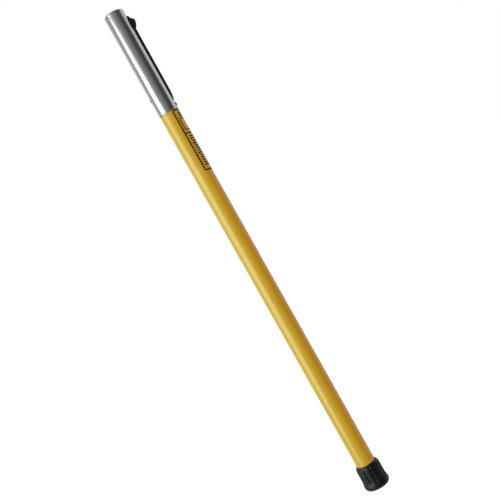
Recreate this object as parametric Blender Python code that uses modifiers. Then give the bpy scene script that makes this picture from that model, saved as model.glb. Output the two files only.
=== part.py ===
"""Roller extension pole, nominally two to four feet, closed and standing on its foot.

Metres, +Z up along the pole, origin at the middle of the foot's base, lock lever on +X.
A threaded aluminium pole slides inside a fibreglass tube. The lever rocks on a cross pin
in the lock housing and carries a steel pin, which drops into the inner pole's holes.
The model is at rest with that pin riding just clear of the inner pole.
"""

import math

import bmesh
import bpy
from mathutils import Matrix, Vector

# Driving dimensions.
TUBE_R = 0.0127                # fibreglass tube, one inch across
TUBE_WALL = 0.0025
SLEEVE_WALL = 0.0003
SLEEVE_LENGTH = 0.1417
VISIBLE_TUBE = 0.5037          # fibreglass between the foot and the sleeve
FOOT_HEIGHT = 0.0330
INNER_R = 0.009525             # inner pole, three quarters of an inch across
INNER_WALL = 0.0016
HOLE_PITCH = 0.0762            # the pole locks every three inches
HOLE_COUNT = 8
THREAD_PITCH = 0.00508         # five threads to the inch
LEVER_WIDTH = 0.0070
PIVOT_TO_PIN = 0.044
FOOT_R = 0.0161                # rubber foot above its bulge
FOOT_BULGE = 0.0010
GROOVE_COUNT = 12
FOOT_TURN = math.radians(-10)   # the foot is pressed on at no exact angle
LABEL_LENGTH = 0.0876

# Fasteners, pins and spring wire, by radius.
RIVET_R = 0.0012
BUSH_RIVET_R = 0.0010
PIVOT_R = 0.0009
LOCK_PIN_R = 0.0020
LINK_R = 0.0006
CROSS_PIN_R = 0.0012
SPRING_R = 0.0016
SPRING_WIRE = 0.00022

# Clearances.
PRESS_GAP = 0.00015            # between pieces that touch in the real pole
SLEEVE_GAP = 0.0001
RUNNING_GAP = 0.0003
PIN_RIDE = 0.00025             # lock pin's tip above the inner pole, at rest

# Steps round a turned piece. Concentric pieces share them, so their facets stay parallel.
STEPS = 48
SMALL_STEPS = 16
THREAD_STEPS = 28
AXIS_MERGE = 0.00001
SHARP_ANGLE = math.radians(35)

# Heights along the pole.
FOOT_FLOOR = 0.0040
WASHER_BOTTOM = FOOT_FLOOR + RUNNING_GAP
WASHER_TOP = WASHER_BOTTOM + 0.0010
TUBE_BOTTOM = WASHER_TOP + RUNNING_GAP
SLEEVE_BOTTOM = FOOT_HEIGHT + VISIBLE_TUBE
RIM = SLEEVE_BOTTOM + SLEEVE_LENGTH
TUBE_TOP = SLEEVE_BOTTOM + 0.0353
NOTCH_BOTTOM = SLEEVE_BOTTOM + 0.0118
HOUSING_BOTTOM = TUBE_TOP + RUNNING_GAP
SLOT_TOP = RIM - 0.0078
HOUSING_TOP = SLOT_TOP + 0.0004
BUSH_BOTTOM = HOUSING_TOP + RUNNING_GAP
BUSH_TOP = RIM + 0.0009        # its lip stands a little proud of the sleeve
PIN_HEIGHT = SLEEVE_BOTTOM + 0.0233
PIVOT_HEIGHT = PIN_HEIGHT + PIVOT_TO_PIN
INNER_BOTTOM = 0.0120
INNER_TOP = RIM - 0.0284
TIP_PIN_HEIGHT = INNER_TOP - 0.0120
TAIL_PIN_HEIGHT = INNER_BOTTOM + 0.0055
FRONT_RIVET_HEIGHT = SLEEVE_BOTTOM + 0.0068
BUSH_RIVET_HEIGHT = RIM - 0.0051
SPRING_HEIGHT = PIVOT_HEIGHT + 0.0480
LEVER_TOP = RIM - 0.0093
LEVER_TOE = NOTCH_BOTTOM + 0.0006
KNOB_BOTTOM = RIM - 0.0278
KNOB_TOP = RIM - 0.0133
LABEL_TOP = SLEEVE_BOTTOM - 0.0006

# Radii from the pole's axis.
TUBE_BORE = TUBE_R - TUBE_WALL
SLEEVE_BORE = TUBE_R + SLEEVE_GAP
SLEEVE_R = SLEEVE_BORE + SLEEVE_WALL
HOUSING_R = SLEEVE_BORE - PRESS_GAP
HOUSING_BORE = INNER_R + 0.0004
CHANNEL_FLOOR = HOUSING_BORE + 0.0010
INNER_BORE = INNER_R - INNER_WALL
SPIGOT_R = INNER_BORE - PRESS_GAP
PIVOT_OUT = 0.01075            # lever's cross pin, from the pole's axis
LEVER_FACE = SLEEVE_R + 0.0028
KNOB_FACE = LEVER_FACE + 0.0043
PIN_TIP = INNER_R + PIN_RIDE
PIN_HEAD = SLEEVE_R + 0.0013
LINK_OUT = PIN_HEAD - 0.0015
SPRING_SEAT = HOUSING_BORE + 0.0004
SPRING_ROOF = LEVER_FACE - 0.0014

# Openings and the lever's hub.
SLOT_WIDTH = LEVER_WIDTH + 2 * RUNNING_GAP
HUB_HALF = 0.0032
RIVET_HOLE_R = RIVET_R + PRESS_GAP
SPRING_POCKET_R = SPRING_R + 0.00065
BUSH_RIVET_ANGLES = {"left": math.radians(-135), "right": math.radians(135)}


def clear_scene():
    for obj in list(bpy.data.objects):
        bpy.data.objects.remove(obj, do_unlink=True)


def new_collection(name):
    made = bpy.data.collections.new(name)
    bpy.context.scene.collection.children.link(made)
    return made


clear_scene()
POLE = new_collection("roller_extension_pole")
CUTTERS = new_collection("cutters")
CUTTERS.hide_render = True


def material(name, colour, roughness, metallic=0.0):
    made = bpy.data.materials.new(name)
    made.use_nodes = True
    shader = made.node_tree.nodes["Principled BSDF"]
    shader.inputs["Base Color"].default_value = (*colour, 1.0)
    shader.inputs["Roughness"].default_value = roughness
    shader.inputs["Metallic"].default_value = metallic
    made.diffuse_color = (*colour, 1.0)
    return made


FIBREGLASS = material("yellow_fibreglass", (0.72, 0.52, 0.045), 0.35)
POLISHED = material("polished_sleeve", (0.72, 0.73, 0.74), 0.22, 1.0)
ALUMINIUM = material("drawn_aluminium", (0.66, 0.67, 0.68), 0.35, 1.0)
CAST_ZINC = material("cast_zinc", (0.50, 0.51, 0.52), 0.42, 1.0)
STEEL = material("plated_steel", (0.56, 0.56, 0.55), 0.30, 1.0)
BLACK_NYLON = material("black_nylon", (0.020, 0.020, 0.021), 0.45)
LEVER_BLACK = material("black_lever", (0.012, 0.012, 0.013), 0.38)
WHITE_ACETAL = material("white_acetal", (0.72, 0.71, 0.67), 0.40)
RUBBER = material("black_rubber", (0.030, 0.030, 0.032), 0.60)
DECAL = material("yellow_decal", (0.74, 0.54, 0.05), 0.30)


def place(obj, collection, look=None):
    collection.objects.link(obj)
    if collection is CUTTERS:
        obj.hide_render = True
        obj.display_type = "WIRE"
    if look:
        obj.data.materials.append(look)
    return obj


def mesh_object(name, shape, collection, look=None):
    mesh = bpy.data.meshes.new(name)
    shape.to_mesh(mesh)
    shape.free()
    mesh.shade_smooth()
    mesh.set_sharp_from_angle(angle=SHARP_ANGLE)
    return place(bpy.data.objects.new(name, mesh), collection, look)


def profile_object(name, points, closed, collection, look):
    """The wire of a turned shape, from (radius, height) pairs."""
    count = len(points)
    edges = [(i, (i + 1) % count) for i in range(count if closed else count - 1)]
    mesh = bpy.data.meshes.new(name)
    mesh.from_pydata([(r, 0.0, z) for r, z in points], edges, [])
    return place(bpy.data.objects.new(name, mesh), collection, look)


def screw(obj, steps, angle=2 * math.pi):
    spin = obj.modifiers.new("turn", "SCREW")
    spin.axis = "Z"
    spin.angle = angle
    spin.steps = steps
    spin.render_steps = steps
    spin.use_merge_vertices = True
    spin.merge_threshold = AXIS_MERGE
    spin.use_smooth_shade = True


def turned(name, points, look=None, collection=POLE, steps=STEPS):
    """A solid of revolution. Its outline runs down the outer side, from the top.

    An outline that starts and ends on the axis is left open there, any other is closed.
    """
    solid = points[0][0] == 0.0 and points[-1][0] == 0.0
    obj = profile_object(name, points, not solid, collection, look)
    screw(obj, steps)
    return obj


def ring_outline(outer, inner, bottom, top):
    return [(outer, top), (outer, bottom), (inner, bottom), (inner, top)]


def rod(name, radius, start, end, look=None, collection=POLE):
    """A cylinder between two points."""
    start, end = Vector(start), Vector(end)
    shape = bmesh.new()
    bmesh.ops.create_cone(
        shape, cap_ends=True, segments=SMALL_STEPS, radius1=radius, radius2=radius,
        depth=(end - start).length,
    )
    turn = Vector((0, 0, 1)).rotation_difference(end - start).to_matrix().to_4x4()
    shape.transform(Matrix.Translation((start + end) / 2) @ turn)
    return mesh_object(name, shape, collection, look)


def box(name, low, high, look=None, collection=POLE):
    low, high = Vector(low), Vector(high)
    shape = bmesh.new()
    bmesh.ops.create_cube(shape, size=1.0)
    shape.transform(Matrix.Translation((low + high) / 2) @ Matrix.Diagonal((*(high - low), 1)))
    return mesh_object(name, shape, collection, look)


def wrap(shape):
    """Replaces the faces of a few joined shapes by their convex hull."""
    bmesh.ops.delete(shape, geom=shape.edges[:] + shape.faces[:], context="EDGES_FACES")
    hull = bmesh.ops.convex_hull(shape, input=shape.verts[:])
    spare = {v for v in hull["geom_interior"] + hull["geom_unused"] if isinstance(v, bmesh.types.BMVert)}
    bmesh.ops.delete(shape, geom=list(spare), context="VERTS")
    bmesh.ops.recalc_face_normals(shape, faces=shape.faces[:])
    return shape


def slot_cutter(name, width, bottom, top, inner, outer):
    """A slot that faces +X, from the radius inner to the radius outer, with small corner radii."""
    corner = 0.0005
    shape = bmesh.new()
    for side in (-1, 1):
        for height in (bottom + corner, top - corner):
            bmesh.ops.create_cone(
                shape, cap_ends=True, segments=SMALL_STEPS, radius1=corner, radius2=corner,
                depth=outer - inner,
                matrix=Matrix.Translation(
                    ((inner + outer) / 2, side * (width / 2 - corner), height)
                ) @ Matrix.Rotation(math.pi / 2, 4, "Y"),
            )
    return mesh_object(name, wrap(shape), CUTTERS)


def join(obj, other):
    change = obj.modifiers.new(other.name, "BOOLEAN")
    change.operation = "UNION"
    change.solver = "EXACT"
    change.object = other


def cut(obj, *cutters):
    """Takes all the cutters from a piece in one step."""
    group = bpy.data.collections.new(f"{obj.name}_cutters")
    CUTTERS.children.link(group)
    for cutter in cutters:
        group.objects.link(cutter)
        CUTTERS.objects.unlink(cutter)
    change = obj.modifiers.new("cut", "BOOLEAN")
    change.operation = "DIFFERENCE"
    change.solver = "EXACT"
    change.operand_type = "COLLECTION"
    change.collection = group


def cutting_rod(name, radius, start, end):
    return rod(name, radius, start, end, collection=CUTTERS)


def cutting_box(name, low, high):
    return box(name, low, high, collection=CUTTERS)


def plate(name, outline, half_width, look=None, collection=POLE):
    """A flat outline in X and Z, given thickness both ways along Y."""
    curve = bpy.data.curves.new(name, "CURVE")
    curve.dimensions = "2D"
    curve.fill_mode = "BOTH"
    curve.extrude = half_width
    spline = curve.splines.new("POLY")
    spline.points.add(len(outline) - 1)
    for point, (x, z) in zip(spline.points, outline):
        point.co = (x, z, 0, 1)
    spline.use_cyclic_u = True
    guide = bpy.data.objects.new(name, curve)
    CUTTERS.objects.link(guide)
    guide.rotation_euler.x = math.pi / 2
    bpy.context.view_layer.update()
    graph = bpy.context.evaluated_depsgraph_get()
    mesh = bpy.data.meshes.new_from_object(guide.evaluated_get(graph))
    shape = bmesh.new()
    shape.from_mesh(mesh)
    shape.transform(guide.matrix_world)
    bmesh.ops.remove_doubles(shape, verts=shape.verts, dist=AXIS_MERGE)
    bmesh.ops.recalc_face_normals(shape, faces=shape.faces)
    bpy.data.objects.remove(guide, do_unlink=True)
    bpy.data.meshes.remove(mesh)
    return mesh_object(name, shape, collection, look)


def arc(centre, radius, start, end, steps):
    """Points in X and Z round a centre, angles in degrees from +X towards +Z."""
    angles = [math.radians(start + (end - start) * i / steps) for i in range(steps + 1)]
    return [(centre[0] + radius * math.cos(a), centre[1] + radius * math.sin(a)) for a in angles]


def move_origin(obj, point):
    """Sets a piece's origin on its joint, without moving the piece."""
    obj.data.transform(Matrix.Translation(-Vector(point)))
    obj.location = point


# The fixed half: fibreglass tube, foot, label, sleeve and lock housing.

def outer_tube():
    tube = turned("outer_tube", ring_outline(TUBE_R, TUBE_BORE, TUBE_BOTTOM, TUBE_TOP), FIBREGLASS)
    half = SLOT_WIDTH / 2
    past = TUBE_R + 0.002
    cut(
        tube,
        cutting_box("tube_notch", (TUBE_BORE - 0.003, -half, NOTCH_BOTTOM),
                    (past, half, TUBE_TOP + 0.002)),
        cutting_rod("tube_rivet_hole_front", RIVET_HOLE_R, (0, 0, FRONT_RIVET_HEIGHT),
                    (past, 0, FRONT_RIVET_HEIGHT)),
        cutting_rod("tube_rivet_hole_back", RIVET_HOLE_R, (0, 0, PIN_HEIGHT),
                    (-past, 0, PIN_HEIGHT)),
    )


def foot_cap():
    """Rubber cap with a chamfered lip, upright grooves and a wide rounded base."""
    socket = TUBE_R + PRESS_GAP
    bulge = FOOT_R + FOOT_BULGE
    outline = [
        (0.0, FOOT_FLOOR),
        (socket, FOOT_FLOOR),
        (socket, FOOT_HEIGHT),
        (FOOT_R - 0.0022, FOOT_HEIGHT),
        (FOOT_R - 0.0013, FOOT_HEIGHT - 0.0014),
        (FOOT_R - 0.0006, FOOT_HEIGHT - 0.0030),
        (FOOT_R, FOOT_HEIGHT - 0.0058),
        (FOOT_R - 0.0001, 0.0120),
        (FOOT_R + 0.0004, 0.0090),
        (bulge - 0.0002, 0.0072),
        (bulge, 0.0060),
        (bulge - 0.0004, 0.0038),
        (bulge - 0.0016, 0.0017),
        (bulge - 0.0032, 0.0004),
        (bulge - 0.0046, 0.0),
        (0.0, 0.0),
    ]
    cap = turned("foot_cap", outline, RUBBER)
    groove_r, groove_out = 0.0014, FOOT_R + 0.0004
    cutters = []
    for number in range(GROOVE_COUNT):
        shape = bmesh.new()
        for height in (0.0111, FOOT_HEIGHT - 0.0037):
            bmesh.ops.create_uvsphere(
                shape, u_segments=12, v_segments=8, radius=groove_r,
                matrix=Matrix.Translation((groove_out, 0, height)),
            )
        wrap(shape)
        turn = FOOT_TURN + 2 * math.pi * number / GROOVE_COUNT
        shape.transform(Matrix.Rotation(turn, 4, "Z"))
        cutters.append(mesh_object(f"groove_cutter_{number}", shape, CUTTERS))
    cut(cap, *cutters)


def foot_washer():
    """Steel disc that keeps the tube's end from cutting through the rubber."""
    turned("foot_washer", ring_outline(TUBE_R - 0.0002, 0.0040, WASHER_BOTTOM, WASHER_TOP), STEEL,
           steps=STEPS // 2)


def tube_label():
    """Thin decal wrapped round the tube, just under the sleeve and centred on the lever."""
    inner, thickness = TUBE_R + 0.00008, 0.00012
    outline = [(inner + thickness, LABEL_TOP), (inner + thickness, LABEL_TOP - LABEL_LENGTH)]
    label = profile_object("tube_label", outline, False, POLE, DECAL)
    steps_each_way = 12
    reach = 2 * math.pi / STEPS * steps_each_way
    screw(label, 2 * steps_each_way, 2 * reach)
    label.rotation_euler.z = -reach
    skin = label.modifiers.new("thickness", "SOLIDIFY")
    skin.thickness = thickness
    skin.offset = -1.0


def bush_rivet_holes(name, start):
    """Holes for the two rivets that hold the bush, from a radius out through the sleeve."""
    holes = []
    for side, angle in BUSH_RIVET_ANGLES.items():
        out = Vector((math.cos(angle), math.sin(angle), 0))
        height = Vector((0, 0, BUSH_RIVET_HEIGHT))
        holes.append(cutting_rod(f"{name}_{side}", BUSH_RIVET_R + PRESS_GAP, out * start + height,
                                 out * (SLEEVE_R + 0.002) + height))
    return holes


def lock_sleeve():
    sleeve = turned("lock_sleeve", ring_outline(SLEEVE_R, SLEEVE_BORE, SLEEVE_BOTTOM, RIM), POLISHED)
    past = SLEEVE_R + 0.002
    cut(
        sleeve,
        slot_cutter("sleeve_slot", SLOT_WIDTH, NOTCH_BOTTOM, SLOT_TOP, SLEEVE_BORE - 0.003, past),
        cutting_rod("sleeve_rivet_hole_front", RIVET_HOLE_R, (0, 0, FRONT_RIVET_HEIGHT),
                    (past, 0, FRONT_RIVET_HEIGHT)),
        cutting_rod("sleeve_rivet_hole_back", RIVET_HOLE_R, (0, 0, PIN_HEIGHT),
                    (-past, 0, PIN_HEIGHT)),
        *bush_rivet_holes("sleeve_bush_hole", TUBE_BORE),
    )


def rivet(name, direction, height, stem_r, stem_start, head_r, head_height):
    """A rivet on the line that leaves the pole's axis in a direction."""
    base = SLEEVE_R + 0.0001
    outline = [
        (0.0, base + head_height),
        (head_r * 0.62, base + head_height * 0.82),
        (head_r * 0.92, base + head_height * 0.42),
        (head_r, base),
        (stem_r, base),
        (stem_r, stem_start),
        (0.0, stem_start),
    ]
    obj = turned(name, outline, STEEL, steps=SMALL_STEPS)
    turn = Matrix.Rotation(direction, 4, "Z") @ Matrix.Rotation(math.pi / 2, 4, "Y")
    obj.matrix_world = Matrix.Translation((0, 0, height)) @ turn


def rivets():
    """One under the lever's toe, one opposite the lock pin, and two that hold the bush."""
    tube_stem = TUBE_BORE + 0.0001
    bush_stem = HOUSING_BORE + 0.0006
    rivet("sleeve_rivet_front", 0.0, FRONT_RIVET_HEIGHT, RIVET_R, tube_stem, 0.0029, 0.0016)
    rivet("sleeve_rivet_back", math.pi, PIN_HEIGHT, RIVET_R, tube_stem, 0.0021, 0.0006)
    for side, angle in BUSH_RIVET_ANGLES.items():
        rivet(f"bush_rivet_{side}", angle, BUSH_RIVET_HEIGHT, BUSH_RIVET_R, bush_stem, 0.0016, 0.0004)


def lock_housing():
    """Moulded ring between the sleeve and the inner pole, with the lever's channel in it.

    A tongue fills the tube's notch and guides the lock pin. A rib inside runs in the
    inner pole's groove, so the pole can't turn.
    """
    below, past = NOTCH_BOTTOM - 0.002, HOUSING_R + 0.002
    body = turned(
        "lock_housing",
        ring_outline(HOUSING_R, HOUSING_BORE, NOTCH_BOTTOM + RUNNING_GAP, HOUSING_TOP),
        BLACK_NYLON,
    )
    rib = box("housing_rib", (-HOUSING_BORE - 0.0008, -0.0010, HOUSING_BOTTOM + 0.002),
              (-INNER_R + 0.0004, 0.0010, HOUSING_BOTTOM + 0.066), collection=CUTTERS)
    join(body, rib)
    tongue_half = SLOT_WIDTH / 2 - RUNNING_GAP
    half = SLOT_WIDTH / 2
    window_half = HUB_HALF + 0.0008
    cut(
        body,
        cutting_box("tongue_back", (-past, -past, below), (0.004, past, HOUSING_BOTTOM)),
        cutting_box("tongue_near", (0.003, -past, below), (past, -tongue_half, HOUSING_BOTTOM)),
        cutting_box("tongue_far", (0.003, tongue_half, below), (past, past, HOUSING_BOTTOM)),
        cutting_box("lever_channel", (CHANNEL_FLOOR, -half, below),
                    (past, half, SLOT_TOP - 0.0004)),
        cutting_box("pivot_window", (HOUSING_BORE - 0.004, -half, PIVOT_HEIGHT - window_half),
                    (past, half, PIVOT_HEIGHT + window_half)),
        cutting_rod("housing_pin_hole", LOCK_PIN_R + RUNNING_GAP, (0.004, 0, PIN_HEIGHT),
                    (past, 0, PIN_HEIGHT)),
        cutting_rod("housing_spring_pocket", SPRING_POCKET_R, (SPRING_SEAT, 0, SPRING_HEIGHT),
                    (past, 0, SPRING_HEIGHT)),
        cutting_rod("housing_pivot_hole", PIVOT_R + PRESS_GAP,
                    (PIVOT_OUT, -past, PIVOT_HEIGHT), (PIVOT_OUT, past, PIVOT_HEIGHT)),
    )


def guide_bush():
    """Short bush in the sleeve's mouth, with a lead-in for the inner pole."""
    outline = [
        (HOUSING_R - 0.0003, BUSH_TOP),
        (HOUSING_R, BUSH_TOP - 0.0003),
        (HOUSING_R, BUSH_BOTTOM),
        (HOUSING_BORE, BUSH_BOTTOM),
        (HOUSING_BORE, BUSH_TOP - 0.0010),
        (HOUSING_BORE + 0.0008, BUSH_TOP),
    ]
    bush = turned("guide_bush", outline, BLACK_NYLON)
    cut(bush, *bush_rivet_holes("bush_rivet_hole", HOUSING_BORE - 0.001))


# The lock: a rocking lever on a cross pin, its knob, its spring and the lock pin.

def lever_pivot_pin():
    rod("lever_pivot_pin", PIVOT_R, (PIVOT_OUT, -0.0050, PIVOT_HEIGHT),
        (PIVOT_OUT, 0.0050, PIVOT_HEIGHT), STEEL)


def lock_lever():
    """A long flat lever with a pointed top, a thin toe and a saddle over its cross pin."""
    belly = CHANNEL_FLOOR + 0.0012
    saddle = PIVOT_R + RUNNING_GAP
    hub_floor = PIVOT_OUT - 0.0004
    lip = 180 - math.degrees(math.acos((PIVOT_OUT - hub_floor) / saddle))
    outline = [
        (LEVER_FACE, LEVER_TOP - 0.0030),
        (LEVER_FACE - 0.0012, LEVER_TOP),
        (belly + 0.0009, LEVER_TOP),
        (belly, PIVOT_HEIGHT + HUB_HALF),
        (hub_floor, PIVOT_HEIGHT + HUB_HALF - 0.0010),
        *arc((PIVOT_OUT, PIVOT_HEIGHT), saddle, lip, -lip, 12),
        (hub_floor, PIVOT_HEIGHT - HUB_HALF + 0.0010),
        (belly, PIVOT_HEIGHT - HUB_HALF),
        (belly + 0.0004, LEVER_TOE + 0.0050),
        (belly + 0.0006, LEVER_TOE),
        (LEVER_FACE - 0.0022, LEVER_TOE),
        (LEVER_FACE - 0.0010, LEVER_TOE + 0.0060),
        (LEVER_FACE - 0.0006, LEVER_TOE + 0.0110),
    ]
    lever = plate("lock_lever", outline, LEVER_WIDTH / 2, LEVER_BLACK)
    cut(
        lever,
        cutting_rod("lever_pin_pocket", LOCK_PIN_R + RUNNING_GAP, (0.009, 0, PIN_HEIGHT),
                    (PIN_HEAD + 0.0004, 0, PIN_HEIGHT)),
        cutting_rod("lever_link_hole", LINK_R + PRESS_GAP, (LINK_OUT, -0.006, PIN_HEIGHT),
                    (LINK_OUT, 0.006, PIN_HEIGHT)),
        cutting_rod("lever_spring_pocket", SPRING_POCKET_R, (0.009, 0, SPRING_HEIGHT),
                    (SPRING_ROOF, 0, SPRING_HEIGHT)),
    )
    move_origin(lever, (PIVOT_OUT, 0, PIVOT_HEIGHT))


def thumb_knob():
    """Rounded thumb piece: short and steep above, long below, wider than the lever under it."""
    base = LEVER_FACE + PRESS_GAP
    nose_r, back_r = 0.0020, 0.0130
    nose = (KNOB_FACE - nose_r, KNOB_TOP - 0.0044)
    back = (KNOB_FACE - back_r, KNOB_TOP - 0.0044)
    outline = [
        (base, KNOB_TOP),
        *arc(nose, nose_r, 50, 0, 3),
        *arc(back, back_r, -6, -48, 6),
        (base, KNOB_BOTTOM),
    ]
    knob = plate("thumb_knob", outline, LEVER_WIDTH / 2 + 0.0008, LEVER_BLACK)
    soft = knob.modifiers.new("rounded_edges", "BEVEL")
    soft.width = 0.0006
    soft.segments = 2
    soft.limit_method = "ANGLE"
    soft.angle_limit = math.radians(40)


def lock_pin():
    """Steel pin on the line of the inner pole's holes, hung from the lever by a link pin."""
    chamfer = 0.0005
    outline = [
        (0.0, PIN_HEAD),
        (LOCK_PIN_R, PIN_HEAD),
        (LOCK_PIN_R, PIN_TIP + chamfer),
        (LOCK_PIN_R - chamfer, PIN_TIP),
        (0.0, PIN_TIP),
    ]
    pin = turned("lock_pin", outline, STEEL, steps=SMALL_STEPS)
    pin.matrix_world = Matrix.Translation((0, 0, PIN_HEIGHT)) @ Matrix.Rotation(math.pi / 2, 4, "Y")
    cut(pin, cutting_rod("lock_pin_eye", LINK_R + RUNNING_GAP, (LINK_OUT, -0.006, PIN_HEIGHT),
                         (LINK_OUT, 0.006, PIN_HEIGHT)))
    rod("lock_pin_link", LINK_R, (LINK_OUT, -LEVER_WIDTH / 2 + 0.0001, PIN_HEIGHT),
        (LINK_OUT, LEVER_WIDTH / 2 - 0.0001, PIN_HEIGHT), STEEL)


def lever_spring():
    """Coil spring between the housing's pocket and the lever, under the knob's lower end."""
    turns, steps_per_turn = 4, 12
    start = SPRING_SEAT + SPRING_WIRE + 0.0002
    end = SPRING_ROOF - SPRING_WIRE - 0.0002
    curve = bpy.data.curves.new("lever_spring", "CURVE")
    curve.dimensions = "3D"
    curve.bevel_depth = SPRING_WIRE
    curve.bevel_resolution = 1
    curve.use_fill_caps = True
    spline = curve.splines.new("POLY")
    count = turns * steps_per_turn
    spline.points.add(count)
    for i, point in enumerate(spline.points):
        angle = 2 * math.pi * i / steps_per_turn
        radius = SPRING_R - SPRING_WIRE
        point.co = (start + (end - start) * i / count, radius * math.cos(angle),
                    SPRING_HEIGHT + radius * math.sin(angle), 1)
    place(bpy.data.objects.new("lever_spring", curve), POLE, STEEL)


# The inner pole, which slides out of the sleeve's mouth.

def inner_tube():
    """Aluminium tube with a row of lock holes facing the lever and a groove behind."""
    tube = turned("inner_tube", ring_outline(INNER_R, INNER_BORE, INNER_BOTTOM, INNER_TOP), ALUMINIUM)
    cutters = [
        cutting_box("tube_groove", (-INNER_R - 0.002, -0.0013, INNER_BOTTOM - 0.002),
                    (-INNER_R + 0.0008, 0.0013, INNER_TOP + 0.002)),
    ]
    for number in range(HOLE_COUNT):
        height = PIN_HEIGHT - number * HOLE_PITCH
        cutters.append(cutting_rod(f"lock_hole_{number}", LOCK_PIN_R + 0.0005, (0.003, 0, height),
                                   (0.013, 0, height)))
    for name, height in (("tip", TIP_PIN_HEIGHT), ("tail", TAIL_PIN_HEIGHT)):
        cutters.append(cross_pin_hole(f"tube_{name}_pin_hole", height))
    cut(tube, *cutters)


def cross_pin_hole(name, height):
    return cutting_rod(name, CROSS_PIN_R + PRESS_GAP, (0, -0.012, height), (0, 0.012, height))


def cross_pins():
    for name, height in (("tip", TIP_PIN_HEIGHT), ("tail", TAIL_PIN_HEIGHT)):
        rod(f"{name}_cross_pin", CROSS_PIN_R, (0, -INNER_R + 0.0002, height),
            (0, INNER_R - 0.0002, height), STEEL)


def thread_ridge(name, bottom, root, crest, turns):
    """A helical ridge of Acme form, from inside the root out to the crest."""
    foot_half, crest_half = THREAD_PITCH * 0.33, THREAD_PITCH * 0.18
    shape = bmesh.new()
    section = [(root - 0.0006, foot_half), (crest, crest_half),
               (crest, -crest_half), (root - 0.0006, -foot_half)]
    rings = []
    for i in range(turns * THREAD_STEPS + 1):
        angle = 2 * math.pi * i / THREAD_STEPS
        height = bottom + THREAD_PITCH * angle / (2 * math.pi)
        rings.append([
            shape.verts.new((r * math.cos(angle), r * math.sin(angle), height + z))
            for r, z in section
        ])
    for low, high in zip(rings, rings[1:]):
        for i in range(4):
            j = (i + 1) % 4
            shape.faces.new((low[i], low[j], high[j], high[i]))
    shape.faces.new(rings[0][::-1])
    shape.faces.new(rings[-1])
    bmesh.ops.recalc_face_normals(shape, faces=shape.faces)
    return mesh_object(name, shape, CUTTERS)


def threaded_tip():
    """Cast tip: a spigot inside the inner pole, a shoulder and the roller frame's thread."""
    root, crest = INNER_R - 0.0026, INNER_R - 0.0002
    shoulder = INNER_TOP + PRESS_GAP
    top = RIM - 0.0008
    outline = [
        (0.0, top),
        (root - 0.0016, top),
        (root, top - 0.0014),
        (root, shoulder + 0.0026),
        (INNER_R, shoulder + 0.0016),
        (INNER_R, shoulder),
        (SPIGOT_R, shoulder),
        (SPIGOT_R, shoulder - 0.0240),
        (0.0, shoulder - 0.0240),
    ]
    tip = turned("threaded_tip", outline, CAST_ZINC, steps=THREAD_STEPS)
    ridge = thread_ridge("thread_ridge", shoulder + 0.0040, root, crest, 4)
    join(tip, ridge)
    cut(tip, cross_pin_hole("tip_pin_hole", TIP_PIN_HEIGHT))


def slide_bush():
    """Nylon bush plugged into the inner pole's bottom end, running in the outer tube."""
    outline = [
        (0.0, INNER_BOTTOM + 0.0095),
        (SPIGOT_R, INNER_BOTTOM + 0.0095),
        (SPIGOT_R, INNER_BOTTOM - PRESS_GAP),
        (TUBE_BORE - 0.00022, INNER_BOTTOM - PRESS_GAP),
        (TUBE_BORE - 0.00022, INNER_BOTTOM - 0.0045),
        (TUBE_BORE - 0.0010, INNER_BOTTOM - 0.0052),
        (0.0, INNER_BOTTOM - 0.0052),
    ]
    bush = turned("slide_bush", outline, WHITE_ACETAL)
    cut(bush, cross_pin_hole("bush_pin_hole", TAIL_PIN_HEIGHT))


def build():
    outer_tube()
    foot_cap()
    foot_washer()
    tube_label()
    lock_sleeve()
    rivets()
    lock_housing()
    guide_bush()
    lever_pivot_pin()
    lock_lever()
    thumb_knob()
    lock_pin()
    lever_spring()
    inner_tube()
    cross_pins()
    threaded_tip()
    slide_bush()


build()
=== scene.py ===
"""A roller extension pole, closed and standing on its foot, in a plain white studio.

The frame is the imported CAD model: metres, +Z up the pole, lock lever on +X. The pieces that
show are made again here with a finer surface, in the places and sizes that the frame gives.
"""

import math
import random

import bmesh
import bpy
from mathutils import Matrix, Vector


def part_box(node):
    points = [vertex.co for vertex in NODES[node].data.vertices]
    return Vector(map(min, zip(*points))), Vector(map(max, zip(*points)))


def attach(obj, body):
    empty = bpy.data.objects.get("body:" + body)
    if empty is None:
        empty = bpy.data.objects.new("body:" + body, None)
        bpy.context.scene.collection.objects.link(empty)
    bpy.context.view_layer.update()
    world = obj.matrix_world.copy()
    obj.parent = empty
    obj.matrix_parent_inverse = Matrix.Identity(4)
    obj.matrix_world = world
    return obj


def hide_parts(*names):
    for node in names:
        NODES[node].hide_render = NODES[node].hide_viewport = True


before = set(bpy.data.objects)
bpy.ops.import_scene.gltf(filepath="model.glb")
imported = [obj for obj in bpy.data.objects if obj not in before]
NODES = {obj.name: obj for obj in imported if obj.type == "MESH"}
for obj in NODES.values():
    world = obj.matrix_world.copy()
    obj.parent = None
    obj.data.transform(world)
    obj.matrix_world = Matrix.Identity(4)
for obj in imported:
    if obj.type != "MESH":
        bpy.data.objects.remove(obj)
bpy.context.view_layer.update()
SCENE = bpy.context.scene

# The camera is level, a little over a metre away, and rolled so that the pole leans left.
CAMERA_DISTANCE = 1.0196
CAMERA_HEIGHT = 0.3372
CAMERA_SIDE = 0.0043
CAMERA_AZIMUTH = math.radians(-11.0)
CAMERA_LEAN = math.radians(29.37)
LENS = 58.4

# A large oval softbox on the left. Its reflection in the sleeve tapers away at the pole's top.
KEY_AZIMUTH = CAMERA_AZIMUTH + math.radians(-58)
KEY_DISTANCE = 1.25
KEY_SIZE = (1.32, 1.40)
KEY_MIDDLE = 0.36
KEY_TILT = math.radians(-4)
KEY_POWER = 10.5

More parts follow.
